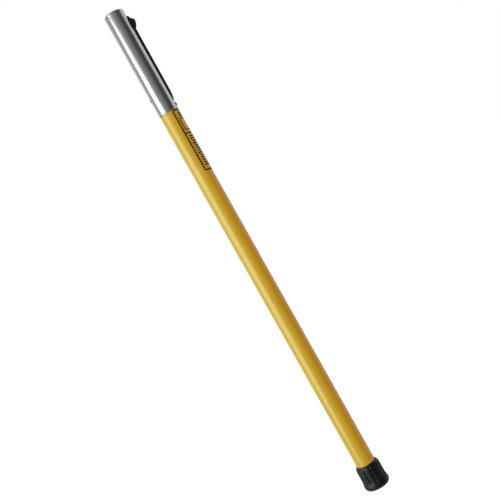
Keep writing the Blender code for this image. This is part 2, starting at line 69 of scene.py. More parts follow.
# Brightness of the surround in reflections, by azimuth in degrees: 0 is the camera's side of the
# pole and 90 is on its right.
SURROUND = (
    (-180, 0.75), (-140, 0.72), (-112, 0.48), (-97, 0.34), (-80, 0.45), (-60, 0.80),
    (-41, 0.75), (-30, 0.52), (-18, 0.36), (-7, 0.30), (5, 0.255), (16, 0.21), (27, 0.16),
    (40, 0.10), (51, 0.055), (62, 0.07), (82, 0.09), (88, 0.14), (92, 0.66), (126, 0.68),
    (145, 0.42), (165, 0.36), (180, 0.60),
)

# Colour of the soft fill on matt surfaces: neutral behind and left, a warm card on the right.
FILL = (
    (-180, (0.46, 0.45, 0.41)), (-60, (0.46, 0.46, 0.44)), (0, (0.64, 0.49, 0.32)),
    (60, (0.58, 0.26, 0.14)), (120, (0.58, 0.29, 0.16)), (180, (0.46, 0.45, 0.41)),
)

# Sizes that the frame gives.
TUBE_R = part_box("outer_tube")[1].y
SLEEVE_LOW, SLEEVE_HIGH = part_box("lock_sleeve")
SLEEVE_R = SLEEVE_HIGH.y
LABEL_LOW, LABEL_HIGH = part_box("tube_label")
LABEL_R = LABEL_HIGH.x
FOOT_R, FOOT_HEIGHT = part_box("foot_cap")[1].yz
LEVER_LOW, LEVER_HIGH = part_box("lock_lever")
KNOB_LOW, KNOB_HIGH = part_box("thumb_knob")
INNER_LOW, INNER_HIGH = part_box("inner_tube")
TIP_LOW, TIP_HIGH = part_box("threaded_tip")

# The opening under the lever, in the sleeve and in the tube.
SLOT_HALF = LEVER_HIGH.y + 0.0003
SLOT_BOTTOM = LEVER_LOW.z - 0.0006

# The rivets' and cross pins' holes, a radius that is past every cut wall of the outer pole, and
# the inner pole's wall.
PIN_HOLE_R = 0.00135
OUTSIDE = 0.016
INNER_WALL = 0.0016

# Nearly all of a noise lies between these two values.
NOISE_LOW, NOISE_HIGH = 0.3, 0.7

# A Mix node's colour sockets, which share their names with its sockets for other kinds of data.
MIX_A, MIX_B, MIX_RESULT = 6, 7, 2


def middle(name):
    low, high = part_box(name)
    return (low + high) / 2


# Small helpers for shader nodes.

def new_node(tree, kind, **settings):
    made = tree.nodes.new(kind)
    for key, value in settings.items():
        setattr(made, key, value)
    return made


class Shader:
    """One material's node tree, with short names for the nodes that it needs."""

    def __init__(self, name):
        self.material = bpy.data.materials.new(name)
        self.material.use_nodes = True
        self.tree = self.material.node_tree
        self.bsdf = self.tree.nodes["Principled BSDF"]
        self.position = self.node("ShaderNodeTexCoord").outputs["Object"]

    def node(self, kind, **settings):
        return new_node(self.tree, kind, **settings)

    def link(self, source, target):
        """Joins a node's output to a socket, or sets the socket to a number or a colour."""
        if isinstance(source, (int, float)):
            target.default_value = source
        elif isinstance(source, tuple):
            target.default_value = (*source, 1.0)[: len(target.default_value)]
        else:
            self.tree.links.new(source, target)

    def set(self, **values):
        """Plain values for the shader's own sockets, with _ for a space."""
        for key, value in values.items():
            self.link(value, self.bsdf.inputs[key.replace("_", " ")])

    def feed(self, socket, source):
        self.link(source, self.bsdf.inputs[socket])

    def math(self, operation, *values):
        made = self.node("ShaderNodeMath", operation=operation)
        for value, socket in zip(values, made.inputs):
            self.link(value, socket)
        return made.outputs[0]

    def total(self, *terms):
        """The sum of some sources. A pair is a source and its weight in the sum."""
        result = None
        for term in terms:
            part = self.math("MULTIPLY", *term) if isinstance(term, tuple) else term
            result = part if result is None else self.math("ADD", result, part)
        return result

    def stretched(self, scale):
        """Object coordinates times a scale along each axis."""
        made = self.node("ShaderNodeVectorMath", operation="MULTIPLY")
        self.link(self.position, made.inputs[0])
        made.inputs[1].default_value = scale
        return made.outputs[0]

    def noise(self, scale, detail=3.0, roughness=0.5, stretch=(1, 1, 1)):
        """Noise with features about 1 / scale metres across, longer where stretch is below 1."""
        made = self.node("ShaderNodeTexNoise")
        self.link(self.stretched(stretch), made.inputs["Vector"])
        made.inputs["Scale"].default_value = scale
        made.inputs["Detail"].default_value = detail
        made.inputs["Roughness"].default_value = roughness
        return made.outputs["Fac"]

    def ramp(self, value, low, high, start, end):
        """low where the value is up to start, high from end on, smooth between them."""
        made = self.node("ShaderNodeMapRange")
        made.interpolation_type = "SMOOTHSTEP"
        for source, socket in zip((value, start, end, low, high), made.inputs):
            self.link(source, socket)
        return made.outputs[0]

    def spread(self, noise, low=0, high=1):
        """A noise, spread out so that it runs from low to high."""
        return self.ramp(noise, low, high, NOISE_LOW, NOISE_HIGH)

    def mix(self, fac, a, b):
        made = self.node("ShaderNodeMix", data_type="RGBA")
        self.link(fac, made.inputs[0])
        self.link(a, made.inputs[MIX_A])
        self.link(b, made.inputs[MIX_B])
        return made.outputs[MIX_RESULT]

    def height(self):
        made = self.node("ShaderNodeSeparateXYZ")
        self.link(self.position, made.inputs[0])
        return made.outputs["Z"]

    def edges(self, start, end):
        """1 on sharp outer edges, 0 on flat ground."""
        geometry = self.node("ShaderNodeNewGeometry")
        return self.ramp(geometry.outputs["Pointiness"], 0, 1, start, end)

    def scratches(self, scale, stretch, amount):
        """Sparse thin lines, 1 on a line. A larger amount gives more of them."""
        lines = self.noise(scale, detail=2, stretch=stretch)
        return self.ramp(lines, 0, 1, start=0.74 - amount, end=0.78 - amount)

    def bump(self, height, distance, strength):
        made = self.node("ShaderNodeBump")
        made.inputs["Strength"].default_value = strength
        made.inputs["Distance"].default_value = distance
        self.link(height, made.inputs["Height"])
        self.feed("Normal", made.outputs[0])


# Materials.

def fibreglass(name, scuffing):
    """Pultruded tube: fibres along the pole under a glossy resin, with scuffs and faint dust.

    A thin dark line of painted shade lies where the tube goes into the sleeve: the shadow under the
    sleeve's edge, painted into the colour.
    """
    look = Shader(name)
    fibres = look.noise(1500, detail=4, roughness=0.65, stretch=(1, 1, 0.02))
    veil = look.noise(220, detail=5, roughness=0.6, stretch=(1, 1, 0.25))
    cloud = look.noise(26, stretch=(1, 1, 0.4))
    scuffs = look.scratches(420, stretch=(1, 1, 0.08), amount=scuffing)
    tone = look.spread(look.total((fibres, 0.45), (veil, 0.35), (cloud, 0.20)))
    resin = look.mix(tone, (0.680, 0.512, 0.021), (0.705, 0.538, 0.025))
    dulled = look.mix(look.math("MULTIPLY", scuffs, 0.15), resin, (0.80, 0.70, 0.30))
    # Painted shade: the colour darkens in a thin band just below the sleeve's lower edge, standing
    # in for the shadow there.
    ragged = look.total(look.height(), (look.noise(900), 0.0005))
    painted_gap_shade = look.ramp(ragged, 0, 0.8, start=SLEEVE_LOW.z - 0.0010, end=SLEEVE_LOW.z - 0.0001)
    look.feed("Base Color", look.mix(painted_gap_shade, dulled, (0.060, 0.040, 0.012)))
    look.feed("Roughness", look.total(look.spread(veil, 0.25, 0.32), (scuffs, 0.15)))
    look.set(Specular_IOR_Level=0.25, Coat_Weight=1.0, Coat_Roughness=0.17)
    look.bump(look.total(fibres, (veil, 0.3)), distance=0.00001, strength=0.2)
    return look.material


def polished_sleeve():
    """Polished along its length, with handling smears and a few fine scratches."""
    look = Shader("sleeve_polished")
    lines = look.noise(2600, detail=4, roughness=0.6, stretch=(1, 1, 0.01))
    smears = look.noise(75, detail=4, roughness=0.55, stretch=(1, 1, 0.5))
    scratches = look.scratches(900, stretch=(1, 1, 0.05), amount=0.07)
    look.feed("Base Color", look.mix(smears, (0.62, 0.625, 0.63), (0.70, 0.705, 0.71)))
    rough = look.total(look.spread(lines, 0.0, 0.07), look.spread(smears, 0.13, 0.20))
    look.feed("Roughness", look.total(rough, (scratches, 0.12)))
    look.set(Metallic=1.0)
    look.bump(look.total(lines, (scratches, -0.8)), distance=0.00001, strength=0.5)
    return look.material


def drawn_aluminium():
    """Extruded tube with long die lines, rubbed brighter where it slides in the bushes."""
    look = Shader("drawn_aluminium")
    lines = look.noise(1800, detail=5, roughness=0.65, stretch=(1, 1, 0.006))
    haze = look.noise(70, detail=4, roughness=0.55, stretch=(1, 1, 0.3))
    rubs = look.scratches(700, stretch=(1, 1, 0.02), amount=0.10)
    colour = look.mix(haze, (0.56, 0.57, 0.58), (0.66, 0.67, 0.68))
    look.feed("Base Color", look.mix(look.math("MULTIPLY", rubs, 0.5), colour, (0.78, 0.78, 0.78)))
    look.feed("Roughness", look.total(look.spread(haze, 0.26, 0.36), look.spread(lines, 0.0, 0.10)))
    look.set(Metallic=1.0)
    look.bump(lines, distance=0.00002, strength=0.5)
    return look.material


def cast_zinc():
    """Die-cast metal with a fine skin, worn bright along the thread's crests."""
    look = Shader("cast_zinc")
    skin = look.noise(2200, detail=4, roughness=0.6)
    stain = look.noise(160, detail=4, roughness=0.6)
    worn = look.edges(start=0.505, end=0.56)
    colour = look.mix(look.spread(stain), (0.30, 0.31, 0.32), (0.42, 0.43, 0.44))
    look.feed("Base Color", look.mix(worn, colour, (0.62, 0.62, 0.62)))
    look.feed("Roughness", look.total(look.spread(skin, 0.40, 0.56), (worn, -0.14)))
    look.set(Metallic=1.0)
    look.bump(skin, distance=0.00004, strength=0.5)
    return look.material


def plated_steel():
    """Dull zinc plating with faint stains, rubbed brighter on the edges."""
    look = Shader("plated_steel")
    skin = look.noise(3200, detail=4, roughness=0.6)
    stain = look.noise(420, detail=4, roughness=0.6)
    worn = look.edges(start=0.51, end=0.60)
    colour = look.mix(look.spread(stain), (0.46, 0.46, 0.45), (0.58, 0.58, 0.57))
    look.feed("Base Color", look.mix(worn, colour, (0.68, 0.68, 0.67)))
    look.feed("Roughness", look.spread(skin, 0.26, 0.40))
    look.set(Metallic=1.0)
    look.bump(skin, distance=0.00002, strength=0.4)
    return look.material


def moulded(name, dark, light, worn, rough, grain, depth, specular):
    """Moulded plastic or rubber: fine grain, cloudy tone, edges rubbed a little lighter."""
    look = Shader(name)
    speck = look.noise(grain, detail=4, roughness=0.6)
    cloud = look.noise(110, detail=4, roughness=0.55)
    rubbed = look.math("MULTIPLY", look.edges(start=0.52, end=0.66), 0.6)
    look.feed("Base Color", look.mix(rubbed, look.mix(look.spread(cloud), dark, light), worn))
    look.feed("Roughness", look.total(look.spread(speck, *rough), look.spread(cloud, -0.03, 0.03)))
    look.set(Specular_IOR_Level=specular)
    look.bump(speck, distance=depth, strength=0.5)
    return look.material


def ink():
    """Screen-printed ink, slightly uneven, so that the yellow shows through in fine specks."""
    look = Shader("label_ink")
    speck = look.noise(5200, detail=4, roughness=0.7)
    thin = look.ramp(speck, 0, 1, start=0.66, end=0.80)
    look.feed("Base Color", look.mix(thin, (0.010, 0.007, 0.004), (0.10, 0.06, 0.010)))
    look.feed("Roughness", look.spread(speck, 0.50, 0.66))
    look.set(Specular_IOR_Level=0.2)
    look.bump(speck, distance=0.00001, strength=0.4)
    return look.material


FIBREGLASS = fibreglass("fibreglass_yellow", scuffing=0.02)
DECAL = fibreglass("decal_yellow", scuffing=0.0)
POLISHED = polished_sleeve()
ALUMINIUM = drawn_aluminium()
ZINC = cast_zinc()
STEEL = plated_steel()
NYLON = moulded(
    "black_nylon", dark=(0.010, 0.010, 0.011), light=(0.018, 0.018, 0.019),
    worn=(0.05, 0.05, 0.05), rough=(0.40, 0.56), grain=4200, depth=0.00004, specular=0.4,
)
LEVER_BLACK = moulded(
    "lever_black", dark=(0.009, 0.009, 0.010), light=(0.016, 0.016, 0.017),
    worn=(0.035, 0.035, 0.035), rough=(0.34, 0.48), grain=4800, depth=0.00003, specular=0.45,
)
ACETAL = moulded(
    "white_acetal", dark=(0.64, 0.63, 0.59), light=(0.72, 0.71, 0.67),
    worn=(0.78, 0.77, 0.73), rough=(0.34, 0.48), grain=3000, depth=0.00003, specular=0.5,
)
RUBBER = moulded(
    "black_rubber", dark=(0.0040, 0.0036, 0.0042), light=(0.0078, 0.0070, 0.0082),
    worn=(0.028, 0.027, 0.028), rough=(0.30, 0.42), grain=2600, depth=0.00006, specular=0.45,
)
INK = ink()


# Finer pieces.

def piece(name, shape, look, body, slot, *replaced, sharp=35):
    """Makes a piece from a bmesh, gives it its finish and sets it riding on its body."""
    mesh = bpy.data.meshes.new(name)
    shape.to_mesh(mesh)
    shape.free()
    mesh.shade_smooth()
    mesh.set_sharp_from_angle(angle=math.radians(sharp))
    mesh.materials.append(look)
    made = bpy.data.objects.new(name, mesh)
    SCENE.collection.objects.link(made)
    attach(made, body)
    if replaced:
        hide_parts(*replaced)
    return made


def grid_solid(profile, columns, radius=None):
    """A solid of revolution from (radius, height) pairs down its outer side, as a bmesh.

    radius(r, angle, height), if given, changes the radius from place to place. A profile
    that starts and ends on the axis is closed there, any other is closed on itself.
    """
    shape = bmesh.new()
    rings = []
    for r, z in profile:
        if r == 0.0:
            rings.append([shape.verts.new((0, 0, z))] * columns)
            continue
        ring = []
        for i in range(columns):
            angle = 2 * math.pi * i / columns
            here = radius(r, angle, z) if radius else r
            ring.append(shape.verts.new((here * math.cos(angle), here * math.sin(angle), z)))
        rings.append(ring)
    if profile[0][0] != 0.0:
        rings.append(rings[0])
    for upper, lower in zip(rings, rings[1:]):
        for i in range(columns):
            j = (i + 1) % columns
            corners = dict.fromkeys((upper[i], lower[i], lower[j], upper[j]))
            shape.faces.new(corners)
    bmesh.ops.recalc_face_normals(shape, faces=shape.faces)
    return shape


def smooth(value, start, end):
    """0 up to start, 1 from end on, and a smooth turn between them."""
    t = min(1.0, max(0.0, (value - start) / (end - start)))
    return t * t * (3 - 2 * t)


def steps(start, end, count):
    return [start + (end - start) * i / count for i in range(count + 1)]


def foot():
    """Rubber foot: sloping lip, upright grooves, a bulge at the bottom and a ringed base."""
    grooves, columns_a_groove, groove_turn = 12, 30, math.radians(-10)
    groove_half, groove_depth, groove_curve = 0.00125, 0.0012, 1.4
    groove_start = 0.0088, 0.0108
    groove_end = FOOT_HEIGHT - 0.0047, FOOT_HEIGHT - 0.0022
    bulge, bulge_top = 0.0010, 0.0125
    lip, lip_bottom, lip_curve = 0.0022, FOOT_HEIGHT - 0.0058, 1.9
    base_round, base_flat = 0.0060, FOOT_R - 0.0046
    ring_width, ring_depth, ring_slope = 0.0012, 0.0004, 0.0003
    socket, ease = TUBE_R + 0.00015, 0.0003
    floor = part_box("foot_washer")[0].z - 0.0003
    body = FOOT_R - bulge

    def wall(z):
        r = body + bulge * (1 - smooth(z, base_round, bulge_top))
        if z > lip_bottom:
            rise = (z - lip_bottom) / (FOOT_HEIGHT - lip_bottom)
            r -= lip * rise ** lip_curve
        if z < base_round:
            fall = 1 - z / base_round
            r -= (FOOT_R - base_flat) * (1 - math.sqrt(max(0.0, 1 - fall * fall)))
        return r

    def grooved(r, angle, z):
        if r < socket + 0.0004:
            return r
        pitch = 2 * math.pi / grooves
        off = abs((angle - groove_turn + pitch / 2) % pitch - pitch / 2) * r / groove_half
        valley = (1 - off ** groove_curve) if off < 1 else 0.0
        along = smooth(z, *groove_start) * (1 - smooth(z, *groove_end))
        return r - groove_depth * valley * along

    outer = [(wall(z), z) for z in steps(FOOT_HEIGHT, base_round, 44)]
    for degrees in steps(8, 90, 11):
        z = base_round * (1 - math.sin(math.radians(degrees)))
        outer.append((wall(z), z))
    rings = []
    for inward in (0.0022, 0.0052, 0.0082):
        r = base_flat - inward
        rings += [(r, 0.0), (r - ring_slope, ring_depth),
                  (r - ring_width + ring_slope, ring_depth), (r - ring_width, 0.0)]
    inner = [(0.0, floor), (socket, floor), (socket, FOOT_HEIGHT - ease),
             (socket + ease, FOOT_HEIGHT)]
    profile = inner + outer + rings + [(0.0, 0.0)]
    shape = grid_solid(profile, columns_a_groove * grooves, grooved)
    piece("rubber_foot", shape, RUBBER, "outer_pole", "black_rubber", "foot_cap", sharp=50)


def cut_mesh(mesh_shape, cutters):
    """Cuts closed bmeshes from a bmesh and gives back the result as a bmesh."""
    def stand_in(shape):
        mesh = bpy.data.meshes.new("work")
        shape.to_mesh(mesh)
        shape.free()
        obj = bpy.data.objects.new("work", mesh)
        SCENE.collection.objects.link(obj)
        return obj

    solid = stand_in(mesh_shape)
    tools = [stand_in(cutter) for cutter in cutters]
    for tool in tools:
        change = solid.modifiers.new("cut", "BOOLEAN")
        change.operation = "DIFFERENCE"
        change.solver = "EXACT"
        change.object = tool
    graph = bpy.context.evaluated_depsgraph_get()
    result = bmesh.new()
    result.from_mesh(solid.evaluated_get(graph).to_mesh())
    for obj in (solid, *tools):
        bpy.data.objects.remove(obj, do_unlink=True)
    return result


def round_normals(made, radius):
    """True radial normals on a turned wall, so that a hole's edge doesn't mark its shine."""
    upright, on_wall = 0.995, 0.00005
    mesh = made.data
    normals = [corner.vector.copy() for corner in mesh.corner_normals]
    for face in mesh.polygons:
        out = Vector((face.center.x, face.center.y, 0)).normalized()
        off_wall = abs(face.center.xy.length - radius)
        if face.normal.dot(out) < upright or off_wall > on_wall:
            continue
        for loop in face.loop_indices:
            point = mesh.vertices[mesh.loops[loop].vertex_index].co
            normals[loop] = Vector((point.x, point.y, 0)).normalized()
    mesh.normals_split_custom_set(normals)


def rod_shape(radius, start, end):
    """A cylinder between two points, as a bmesh."""
    start, end = Vector(start), Vector(end)
    shape = bmesh.new()
    turn = Vector((0, 0, 1)).rotation_difference(end - start).to_matrix().to_4x4()
    bmesh.ops.create_cone(
        shape, cap_ends=True, segments=40, radius1=radius, radius2=radius,
        depth=(end - start).length, matrix=Matrix.Translation((start + end) / 2) @ turn,
    )
    return shape


def box_shape(low, high):
    """A box between two corners, as a bmesh."""
    low, high = Vector(low), Vector(high)
    shape = bmesh.new()
    bmesh.ops.create_cube(
        shape, size=1.0,
        matrix=Matrix.Translation((low + high) / 2) @ Matrix.Diagonal((*(high - low), 1)),
    )
    return shape


def rounded_slot(half, bottom, top, inner, outer, corner):
    """A slot cutter that faces +X, with round corners."""
    shape = bmesh.new()
    for side in (-1, 1):
        for height in (bottom + corner, top - corner):
            bmesh.ops.create_cone(
                shape, cap_ends=True, segments=32, radius1=corner, radius2=corner,
                depth=outer - inner,
                matrix=Matrix.Translation(((inner + outer) / 2, side * (half - corner), height))
                @ Matrix.Rotation(math.pi / 2, 4, "Y"),
            )
    points = shape.verts[:]
    bmesh.ops.delete(shape, geom=shape.edges[:] + shape.faces[:], context="EDGES_FACES")
    bmesh.ops.convex_hull(shape, input=points)
    loose = [v for v in shape.verts if not v.link_faces]
    bmesh.ops.delete(shape, geom=loose, context="VERTS")
    bmesh.ops.recalc_face_normals(shape, faces=shape.faces)
    return shape


def pipe_profile(radius, wall, ease, low, high):
    """Profile of a plain pipe with eased outer edges."""
    return [
        (radius - wall, high), (radius - ease, high), (radius, high - ease),
        (radius, low + ease), (radius - ease, low), (radius - wall, low),
    ]


def tube():
    """Fibreglass tube, with the housing's notch and the rivets' holes under the sleeve."""
    low, high = (corner.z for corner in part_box("outer_tube"))
    front, back = middle("sleeve_rivet_front").z, middle("sleeve_rivet_back").z
    cutters = [
        box_shape((0.004, -SLOT_HALF, SLOT_BOTTOM), (OUTSIDE, SLOT_HALF, high + 0.002)),
        rod_shape(PIN_HOLE_R, (0, 0, front), (OUTSIDE, 0, front)),
        rod_shape(PIN_HOLE_R, (0, 0, back), (-OUTSIDE, 0, back)),
    ]
    profile = pipe_profile(TUBE_R, wall=0.0025, ease=0.0003, low=low, high=high)
    shape = cut_mesh(grid_solid(profile, 180), cutters)
    made = piece("fibreglass_tube", shape, FIBREGLASS, "outer_pole", "yellow_fibreglass",
                 "outer_tube")
    round_normals(made, TUBE_R)


def sleeve():
    """Thin polished sleeve with a slot for the lever and eased edges."""
    front = middle("sleeve_rivet_front").z
    cutters = [
        rounded_slot(SLOT_HALF, SLOT_BOTTOM, LEVER_HIGH.z + 0.0015, inner=0.008, outer=OUTSIDE,
                     corner=0.0008),
        rod_shape(PIN_HOLE_R, (0, 0, front), (OUTSIDE, 0, front)),
    ]
    profile = pipe_profile(SLEEVE_R, wall=0.0003, ease=0.0001, low=SLEEVE_LOW.z,
                           high=SLEEVE_HIGH.z)
    shape = cut_mesh(grid_solid(profile, 180), cutters)
    made = piece("polished_sleeve", shape, POLISHED, "outer_pole", "polished_sleeve", "lock_sleeve")
    round_normals(made, SLEEVE_R)


def rivets():
    """Domed heads. The front one, under the lever's toe, is proud and the rest are low."""
    seat = SLEEVE_R + 0.00008
    sleeve_stem, bush_stem = 0.0012, 0.0010
    dome_end, dome_curve = 86, 0.8
    for name in ("sleeve_rivet_front", "sleeve_rivet_back", "bush_rivet_left", "bush_rivet_right"):
        low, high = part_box(name)
        centre = (low + high) / 2
        angle = math.atan2(centre.y, centre.x)
        out = Vector((math.cos(angle), math.sin(angle), 0))
        reaches = [vert.co.dot(out) for vert in NODES[name].data.vertices]
        start, top = min(reaches), max(reaches)
        radius = (high.z - low.z) / 2
        stem = bush_stem if name.startswith("bush") else sleeve_stem
        profile = []
        for degrees in steps(0, dome_end, 12):
            turn = math.radians(degrees)
            rise = (top - seat) * math.cos(turn) ** dome_curve
            profile.append((radius * math.sin(turn), seat + rise))
        profile += [(radius, seat), (stem, seat), (stem, start), (0.0, start)]
        shape = grid_solid(profile, 48)
        facing = Matrix.Rotation(angle, 4, "Z") @ Matrix.Rotation(math.pi / 2, 4, "Y")
        shape.transform(Matrix.Translation((0, 0, centre.z)) @ facing)
        piece(f"{name}_head", shape, STEEL, "outer_pole", "plated_steel", name, sharp=60)


def slab(outline, half_width, rounding, crown=0.0):
    """An outline in X and Z with thickness along Y and rounded edges, as a bmesh.

    crown lowers the sides of the outer face, so that it is domed across.
    """
    def width(edge):
        return abs(edge.verts[0].co.y - edge.verts[1].co.y)

    shape = bmesh.new()
    near, far = (
        [shape.verts.new((x, y, z)) for x, z in outline] for y in (-half_width, half_width)
    )
    count = len(outline)
    shape.faces.new(near)
    shape.faces.new(far[::-1])
    for i in range(count):
        j = (i + 1) % count
        shape.faces.new((near[i], far[i], far[j], near[j]))
    bmesh.ops.recalc_face_normals(shape, faces=shape.faces)
    rims = [edge for edge in shape.edges if width(edge) < 1e-7]
    bmesh.ops.bevel(shape, geom=rims, offset=rounding, segments=4, profile=0.5, affect="EDGES",
                    clamp_overlap=True)
    if crown:
        across = [edge for edge in shape.edges if width(edge) > half_width]
        bmesh.ops.subdivide_edges(shape, edges=across, cuts=7, use_grid_fill=True)
        base = min(x for x, z in outline)
        for vert in shape.verts:
            share = (vert.co.y / half_width) ** 2
            vert.co.x = base + (vert.co.x - base) * (1 - crown * share)
    bmesh.ops.recalc_face_normals(shape, faces=shape.faces)
    return shape


def arc(centre, radius, start, end, count):
    """Points in X and Z round a centre, angles in degrees from +X towards +Z."""
    angles = [math.radians(a) for a in steps(start, end, count)]
    return [(centre[0] + radius * math.cos(a), centre[1] + radius * math.sin(a)) for a in angles]


def lever():
    """Long flat lever: pointed top, thin toe and a saddle over its cross pin."""
    face, top, toe = LEVER_HIGH.x, LEVER_HIGH.z, LEVER_LOW.z
    belly = face - 0.0038
    nose_r, nose_drop, nose_turn = 0.0009, 0.0036, 38
    pin_low, pin_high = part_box("lever_pivot_pin")
    pivot = (pin_low + pin_high) / 2
    saddle = (pin_high.z - pin_low.z) / 2 + 0.0003
    hub, hub_slope, hub_floor = 0.0032, 0.0010, LEVER_LOW.x
    lip = 180 - math.degrees(math.acos((pivot.x - hub_floor) / saddle))
    outline = [
        *arc((face - nose_r, top - nose_drop), nose_r, 0, nose_turn, 3),
        (face - 0.0012, top),
        (belly + 0.0009, top),
        (belly, pivot.z + hub),
        (hub_floor, pivot.z + hub - hub_slope),
        *arc((pivot.x, pivot.z), saddle, lip, -lip, 20),
        (hub_floor, pivot.z - hub + hub_slope),
        (belly, pivot.z - hub),
        (belly + 0.0004, toe + 0.0050),
        (belly + 0.0006, toe),
        (face - 0.0022, toe),
        (face - 0.0010, toe + 0.0060),
        (face - 0.0006, toe + 0.0110),
    ]
    piece("lock_lever_arm", slab(outline, LEVER_HIGH.y, rounding=0.0003), LEVER_BLACK, "lever",
          "black_lever", "lock_lever", sharp=40)


def knob():
    """Rounded thumb piece: short and steep above, long below, domed across."""
    base, out = KNOB_LOW.x, KNOB_HIGH.x
    bottom, top = KNOB_LOW.z, KNOB_HIGH.z
    peak = top - 0.0044
    nose_r, back_r = 0.0020, 0.0130
    outline = [
        (base, top),
        *arc((out - nose_r, peak), nose_r, 50, 0, 6),
        *arc((out - back_r, peak), back_r, -4, -48, 12),
        (base, bottom),
    ]
    piece("thumb_knob_cap", slab(outline, KNOB_HIGH.y, rounding=0.0007, crown=0.10), LEVER_BLACK,
          "lever", "black_lever", "thumb_knob", sharp=50)


def inner_pole():
    """Aluminium tube with a row of lock holes facing the lever and a groove behind."""
    radius, low, high = INNER_HIGH.y, INNER_LOW.z, INNER_HIGH.z
    holes, pitch = 8, 0.0762
    groove_half, groove_depth, past = 0.0013, 0.0008, 0.002
    pin_low, pin_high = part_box("lock_pin")
    hole_r = (pin_high.z - pin_low.z) / 2 + 0.0005
    cutters = [box_shape((-radius - past, -groove_half, low - past),
                         (-radius + groove_depth, groove_half, high + past))]
    for number in range(holes):
        height = middle("lock_pin").z - number * pitch
        cutters.append(rod_shape(hole_r, (0.003, 0, height), (0.013, 0, height)))
    for name in ("tip_cross_pin", "tail_cross_pin"):
        height = middle(name).z
        cutters.append(rod_shape(PIN_HOLE_R, (0, -0.012, height), (0, 0.012, height)))
    profile = pipe_profile(radius, wall=INNER_WALL, ease=0.0002, low=low, high=high)
    made = piece("inner_pole_tube", cut_mesh(grid_solid(profile, 144), cutters), ALUMINIUM,
                 "inner_pole", "drawn_aluminium", "inner_tube")
    round_normals(made, radius)


def tip():
    """Cast tip: spigot, shoulder and an Acme thread of five turns to the inch."""
    pitch, turns, rows_a_turn = 0.00508, 4, 30
    collar = TIP_HIGH.y
    crest = collar - 0.0002
    root = crest - 0.0024
    crest_half, flank_width = 0.17, 0.16
    shoulder, top = INNER_HIGH.z + 0.00015, TIP_HIGH.z
    thread_low, thread_high = shoulder + 0.0026, top - 0.0014
    start = shoulder + 0.0040
    spigot = collar - INNER_WALL - 0.00015

    def threaded(r, angle, z):
        if z < shoulder + 0.0015 or r < root - 0.0017:
            return r
        turn = (z - start) / pitch - angle / (2 * math.pi)
        nearest = round(turn)
        if nearest < -1:
            return r
        along = nearest + angle / (2 * math.pi)
        run_out = smooth(along, -0.05, 0.30) * (1 - smooth(along, turns - 0.1, turns + 0.05))
        flank = 1 - (abs(turn - nearest) - crest_half) / flank_width
        ridge = (crest - root) * min(1.0, max(0.0, flank)) * run_out
        end_chamfer = root - 0.0010 + (top - z) * 1.2
        return max(r, min(root + ridge, end_chamfer))

    rows = int((thread_high - thread_low) / pitch * rows_a_turn)
    profile = [
        (0.0, top), (root - 0.0016, top), (root - 0.0006, top - 0.0004),
        *((root, z) for z in steps(thread_high, thread_low, rows)),
        (collar - 0.0003, shoulder + 0.0017), (collar, shoulder + 0.0014), (collar, shoulder),
        (spigot, shoulder), (spigot, TIP_LOW.z), (0.0, TIP_LOW.z),
    ]
    piece("threaded_nose", grid_solid(profile, 96, threaded), ZINC, "inner_pole", "cast_zinc",
          "threaded_tip", sharp=40)


# The label, and its print: plain marks with no lettering.

def ribbon(shape, angle_low, angle_high, low, high, inner, outer):
    """Adds a thin curved patch between two angles, two heights and two radii to a bmesh."""
    count = max(1, math.ceil((angle_high - angle_low) / math.radians(2.5)))
    angles = steps(angle_low, angle_high, count)
    rings = [
        [shape.verts.new((r * math.cos(a), r * math.sin(a), z))
         for r, z in ((inner, low), (outer, low), (outer, high), (inner, high))]
        for a in angles
    ]
    for first, second in zip(rings, rings[1:]):
        for i in range(4):
            j = (i + 1) % 4
            shape.faces.new((first[i], second[i], second[j], first[j]))
    shape.faces.new(rings[0])
    shape.faces.new(rings[-1][::-1])


def label_film():
    """The label's film, half way round the tube."""
    film, reach = 0.00012, math.pi / 2
    shape = bmesh.new()
    ribbon(shape, -reach, reach, LABEL_LOW.z, LABEL_HIGH.z, LABEL_R - film, LABEL_R)
    bmesh.ops.recalc_face_normals(shape, faces=shape.faces)
    made = piece("label_film", shape, DECAL, "outer_pole", "yellow_decal", "tube_label")
    round_normals(made, LABEL_R)


def label_print():
    """Black ink: an outline, a cross bar, three title bars, an empty box and rows of bars."""
    reach = math.radians(82.5)
    line, box_line = 0.0018, 0.0018 * 0.7
    thick, box_thick = line / LABEL_R, line / LABEL_R * 0.7
    margin = thick + math.radians(9)
    bottom, top = LABEL_LOW.z + 0.0012, LABEL_HIGH.z - 0.0004
    bar = top - 0.0341
    box_low, box_high = bar + 0.0050, top - 0.0135
    title_half, title_tall = math.radians(54), 0.0017
    row_pitch, row_tall, row_gap = 0.0034, 0.0019, 0.0046
    shape = bmesh.new()

    def mark(angle_low, angle_high, low, high):
        ribbon(shape, angle_low, angle_high, low, high, LABEL_R + 0.00001, LABEL_R + 0.00004)

    for low in (bottom, bar, top - line):
        mark(-reach + thick, reach - thick, low, low + line)
    for start in (-reach, reach - thick):
        mark(start, start + thick, bottom + line * 0.6, top - line * 0.6)
    for low in (box_low, box_high):
        mark(-reach + margin, reach - margin, low, low + box_line)
    for start in (-reach + margin, reach - margin - box_thick):
        mark(start, start + box_thick, box_low, box_high + box_line)
    for low in (top - 0.0058, top - 0.0084, top - 0.0110):
        mark(-title_half, title_half, low, low + title_tall)
    draw = random.Random(7)
    height = bar - row_gap
    while height > bottom + row_gap:
        angle = -reach + margin + draw.random() * 0.25
        end = reach - margin - draw.random() * 0.6
        while angle < end:
            length = math.radians(draw.uniform(22, 60))
            mark(angle, min(angle + length, end), height, height + row_tall)
            angle += length + math.radians(draw.uniform(4.0, 7.0))
        height -= row_pitch
    bmesh.ops.recalc_face_normals(shape, faces=shape.faces)
    piece("label_marks", shape, INK, "outer_pole", "black_nylon")


# The frame's own nodes that stay.

def dress(look, *names):
    for name in names:
        mesh = NODES[name].data
        mesh.materials.clear()
        mesh.materials.append(look)


